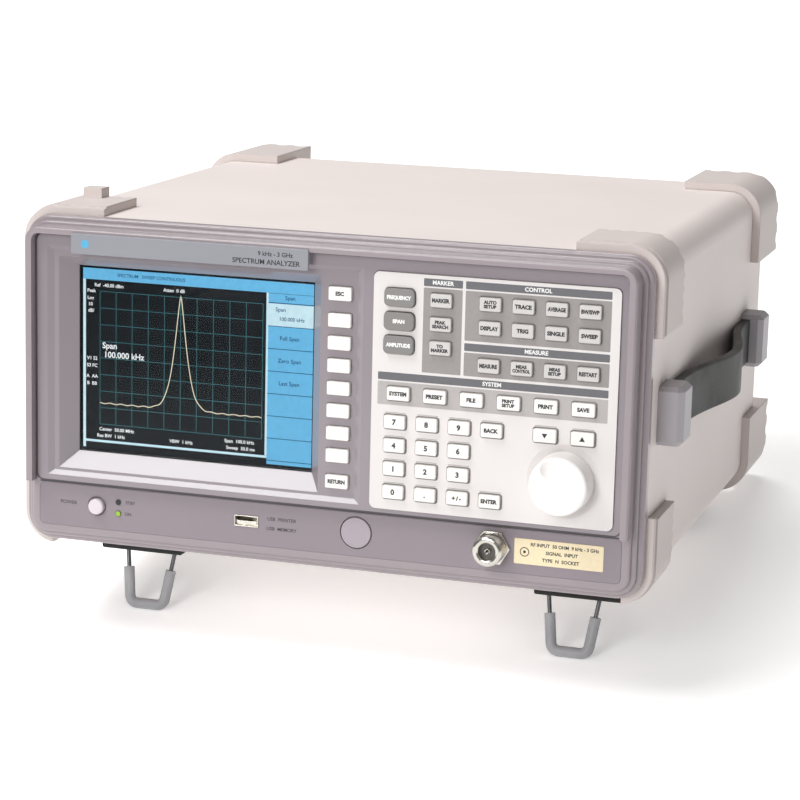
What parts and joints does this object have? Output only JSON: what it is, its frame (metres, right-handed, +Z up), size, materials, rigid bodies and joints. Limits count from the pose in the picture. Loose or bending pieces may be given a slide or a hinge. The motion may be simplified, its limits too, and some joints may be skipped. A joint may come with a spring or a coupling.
{
  "type": "spectrum analyzer",
  "caption": "Bench spectrum analyzer standing on fold-out tilt bails, with a screen, soft keys, keypad, tuning knob, RF input and carry strap.",
  "frame": {"origin": "on the bench, under the centre of the bounding box", "axes": "+X to the operator's right, +Y from the front panel to the back, +Z up; the case leans back on its tilt bails"},
  "size_m": [0.3658, 0.3782, 0.2374],
  "materials": {
    "bail_sleeve_left": "matt",
    "bail_sleeve_right": "matt",
    "case_sleeve": "fine texture",
    "chassis": "zinc plate",
    "circuit_boards": "solder mask",
    "corner_bumpers_front": "soft plastic",
    "corner_bumpers_rear": "soft plastic",
    "fan_frame": "matt",
    "fan_guard": "bright",
    "fan_rotor": "matt",
    "front_feet": "matt",
    "front_frame": "fine texture",
    "handle_caps": "smooth",
    "handle_strap": "vinyl",
    "inner_panel": "fine texture",
    "input_label": "printed film",
    "key_arrow_down": "smooth",
    "key_arrow_up": "smooth",
    "key_escape": "smooth",
    "key_function_1": "smooth",
    "key_function_2": "smooth",
    "key_function_3": "smooth",
    "key_return": "smooth",
    "key_soft_1": "smooth",
    "key_soft_2": "smooth",
    "key_soft_3": "smooth",
    "key_soft_4": "smooth",
    "key_soft_5": "smooth",
    "key_soft_6": "smooth",
    "key_soft_7": "smooth",
    "keypad_overlay": "smooth",
    "keys_control_lower": "smooth",
    "keys_control_upper": "smooth",
    "keys_marker": "smooth",
    "keys_measure": "smooth",
    "keys_pad_row_1": "smooth",
    "keys_pad_row_2": "smooth",
    "keys_pad_row_3": "smooth",
    "keys_pad_row_4": "smooth",
    "keys_system": "smooth",
    "knob_encoder": "satin",
    "lcd_module": "display",
    "lower_panel": "fine texture",
    "mains_inlet": "matt",
    "name_plate": "satin",
    "port_cap": "smooth",
    "power_button": "smooth",
    "power_supply": "satin",
    "rear_connectors": "nickel plate",
    "rear_feet": "matt",
    "rear_panel": "fine texture",
    "rf_connector": "nickel plate",
    "rf_module": "milled",
    "screen_window": "clear",
    "screws": "zinc plate",
    "status_leds": "clear",
    "tilt_bail_left": "drawn wire",
    "tilt_bail_right": "drawn wire",
    "tuning_knob": "smooth",
    "usb_port": "polished"
  },
  "bodies": {
    "case": {"case_sleeve": "case_sleeve", "chassis": "chassis", "circuit_boards": "circuit_boards", "corner_bumpers_front": "corner_bumpers_front", "corner_bumpers_rear": "corner_bumpers_rear", "fan_frame": "fan_frame", "fan_guard": "fan_guard", "front_feet": "front_feet", "front_frame": "front_frame", "handle_caps": "handle_caps", "handle_strap": "handle_strap", "inner_panel": "inner_panel", "input_label": "input_label", "keypad_overlay": "keypad_overlay", "knob_encoder": "knob_encoder", "lcd_module": "lcd_module", "lower_panel": "lower_panel", "mains_inlet": "mains_inlet", "name_plate": "name_plate", "port_cap": "port_cap", "power_supply": "power_supply", "rear_connectors": "rear_connectors", "rear_feet": "rear_feet", "rear_panel": "rear_panel", "rf_connector": "rf_connector", "rf_module": "rf_module", "screen_window": "screen_window", "screws": "screws", "status_leds": "status_leds", "usb_port": "usb_port"},
    "key_arrow_down": {"key_arrow_down": "key_arrow_down"},
    "key_arrow_up": {"key_arrow_up": "key_arrow_up"},
    "key_escape": {"key_escape": "key_escape"},
    "key_function_1": {"key_function_1": "key_function_1"},
    "key_function_2": {"key_function_2": "key_function_2"},
    "key_function_3": {"key_function_3": "key_function_3"},
    "key_return": {"key_return": "key_return"},
    "key_soft_1": {"key_soft_1": "key_soft_1"},
    "key_soft_2": {"key_soft_2": "key_soft_2"},
    "key_soft_3": {"key_soft_3": "key_soft_3"},
    "key_soft_4": {"key_soft_4": "key_soft_4"},
    "key_soft_5": {"key_soft_5": "key_soft_5"},
    "key_soft_6": {"key_soft_6": "key_soft_6"},
    "key_soft_7": {"key_soft_7": "key_soft_7"},
    "keys_control_lower": {"keys_control_lower": "keys_control_lower"},
    "keys_control_upper": {"keys_control_upper": "keys_control_upper"},
    "keys_marker": {"keys_marker": "keys_marker"},
    "keys_measure": {"keys_measure": "keys_measure"},
    "keys_pad_row_1": {"keys_pad_row_1": "keys_pad_row_1"},
    "keys_pad_row_2": {"keys_pad_row_2": "keys_pad_row_2"},
    "keys_pad_row_3": {"keys_pad_row_3": "keys_pad_row_3"},
    "keys_pad_row_4": {"keys_pad_row_4": "keys_pad_row_4"},
    "keys_system": {"keys_system": "keys_system"},
    "power_button": {"power_button": "power_button"},
    "knob": {"tuning_knob": "tuning_knob"},
    "fan": {"fan_rotor": "fan_rotor"},
    "bail_left": {"tilt_bail_left": "tilt_bail_left", "bail_sleeve_left": "bail_sleeve_left"},
    "bail_right": {"tilt_bail_right": "tilt_bail_right", "bail_sleeve_right": "bail_sleeve_right"}
  },
  "joints": [
    {"name": "key_arrow_down_press", "type": "slide", "parent": "case", "child": "key_arrow_down", "axis": [0, 0.9889, -0.1489], "range_m": [0, 0.0012], "stiffness_N_per_m": 800},
    {"name": "key_arrow_up_press", "type": "slide", "parent": "case", "child": "key_arrow_up", "axis": [0, 0.9889, -0.1489], "range_m": [0, 0.0012], "stiffness_N_per_m": 800},
    {"name": "key_escape_press", "type": "slide", "parent": "case", "child": "key_escape", "axis": [0, 0.9889, -0.1489], "range_m": [0, 0.0012], "stiffness_N_per_m": 800},
    {"name": "key_function_1_press", "type": "slide", "parent": "case", "child": "key_function_1", "axis": [0, 0.9889, -0.1489], "range_m": [0, 0.0012], "stiffness_N_per_m": 800},
    {"name": "key_function_2_press", "type": "slide", "parent": "case", "child": "key_function_2", "axis": [0, 0.9889, -0.1489], "range_m": [0, 0.0012], "stiffness_N_per_m": 800},
    {"name": "key_function_3_press", "type": "slide", "parent": "case", "child": "key_function_3", "axis": [0, 0.9889, -0.1489], "range_m": [0, 0.0012], "stiffness_N_per_m": 800},
    {"name": "key_return_press", "type": "slide", "parent": "case", "child": "key_return", "axis": [0, 0.9889, -0.1489], "range_m": [0, 0.0012], "stiffness_N_per_m": 800},
    {"name": "key_soft_1_press", "type": "slide", "parent": "case", "child": "key_soft_1", "axis": [0, 0.9889, -0.1489], "range_m": [0, 0.0012], "stiffness_N_per_m": 800},
    {"name": "key_soft_2_press", "type": "slide", "parent": "case", "child": "key_soft_2", "axis": [0, 0.9889, -0.1489], "range_m": [0, 0.0012], "stiffness_N_per_m": 800},
    {"name": "key_soft_3_press", "type": "slide", "parent": "case", "child": "key_soft_3", "axis": [0, 0.9889, -0.1489], "range_m": [0, 0.0012], "stiffness_N_per_m": 800},
    {"name": "key_soft_4_press", "type": "slide", "parent": "case", "child": "key_soft_4", "axis": [0, 0.9889, -0.1489], "range_m": [0, 0.0012], "stiffness_N_per_m": 800},
    {"name": "key_soft_5_press", "type": "slide", "parent": "case", "child": "key_soft_5", "axis": [0, 0.9889, -0.1489], "range_m": [0, 0.0012], "stiffness_N_per_m": 800},
    {"name": "key_soft_6_press", "type": "slide", "parent": "case", "child": "key_soft_6", "axis": [0, 0.9889, -0.1489], "range_m": [0, 0.0012], "stiffness_N_per_m": 800},
    {"name": "key_soft_7_press", "type": "slide", "parent": "case", "child": "key_soft_7", "axis": [0, 0.9889, -0.1489], "range_m": [0, 0.0012], "stiffness_N_per_m": 800},
    {"name": "keys_control_lower_press", "type": "slide", "parent": "case", "child": "keys_control_lower", "axis": [0, 0.9889, -0.1489], "range_m": [0, 0.0012], "stiffness_N_per_m": 800},
    {"name": "keys_control_upper_press", "type": "slide", "parent": "case", "child": "keys_control_upper", "axis": [0, 0.9889, -0.1489], "range_m": [0, 0.0012], "stiffness_N_per_m": 800},
    {"name": "keys_marker_press", "type": "slide", "parent": "case", "child": "keys_marker", "axis": [0, 0.9889, -0.1489], "range_m": [0, 0.0012], "stiffness_N_per_m": 800},
    {"name": "keys_measure_press", "type": "slide", "parent": "case", "child": "keys_measure", "axis": [0, 0.9889, -0.1489], "range_m": [0, 0.0012], "stiffness_N_per_m": 800},
    {"name": "keys_pad_row_1_press", "type": "slide", "parent": "case", "child": "keys_pad_row_1", "axis": [0, 0.9889, -0.1489], "range_m": [0, 0.0012], "stiffness_N_per_m": 800},
    {"name": "keys_pad_row_2_press", "type": "slide", "parent": "case", "child": "keys_pad_row_2", "axis": [0, 0.9889, -0.1489], "range_m": [0, 0.0012], "stiffness_N_per_m": 800},
    {"name": "keys_pad_row_3_press", "type": "slide", "parent": "case", "child": "keys_pad_row_3", "axis": [0, 0.9889, -0.1489], "range_m": [0, 0.0012], "stiffness_N_per_m": 800},
    {"name": "keys_pad_row_4_press", "type": "slide", "parent": "case", "child": "keys_pad_row_4", "axis": [0, 0.9889, -0.1489], "range_m": [0, 0.0012], "stiffness_N_per_m": 800},
    {"name": "keys_system_press", "type": "slide", "parent": "case", "child": "keys_system", "axis": [0, 0.9889, -0.1489], "range_m": [0, 0.0012], "stiffness_N_per_m": 800},
    {"name": "power_press", "type": "slide", "parent": "case", "child": "power_button", "axis": [0, 0.9889, -0.1489], "range_m": [0, 0.0025], "stiffness_N_per_m": 600},
    {"name": "knob_turn", "type": "hinge", "parent": "case", "child": "knob", "pos_m": [0.1244, -0.17403, 0.11999], "axis": [0, -0.9889, 0.1489], "continuous": true},
    {"name": "fan_turn", "type": "hinge", "parent": "case", "child": "fan", "pos_m": [-0.1116, 0.12776, 0.10944], "axis": [0, 0.9889, -0.1489], "continuous": true},
    {"name": "bail_left_fold", "type": "hinge", "parent": "case", "child": "bail_left", "pos_m": [-0.1294, -0.11425, 0.0402], "axis": [1, 0, 0], "range_deg": [0, 103]},
    {"name": "bail_right_fold", "type": "hinge", "parent": "case", "child": "bail_right", "pos_m": [0.1162, -0.11425, 0.0402], "axis": [1, 0, 0], "range_deg": [0, 103]}
  ]
}
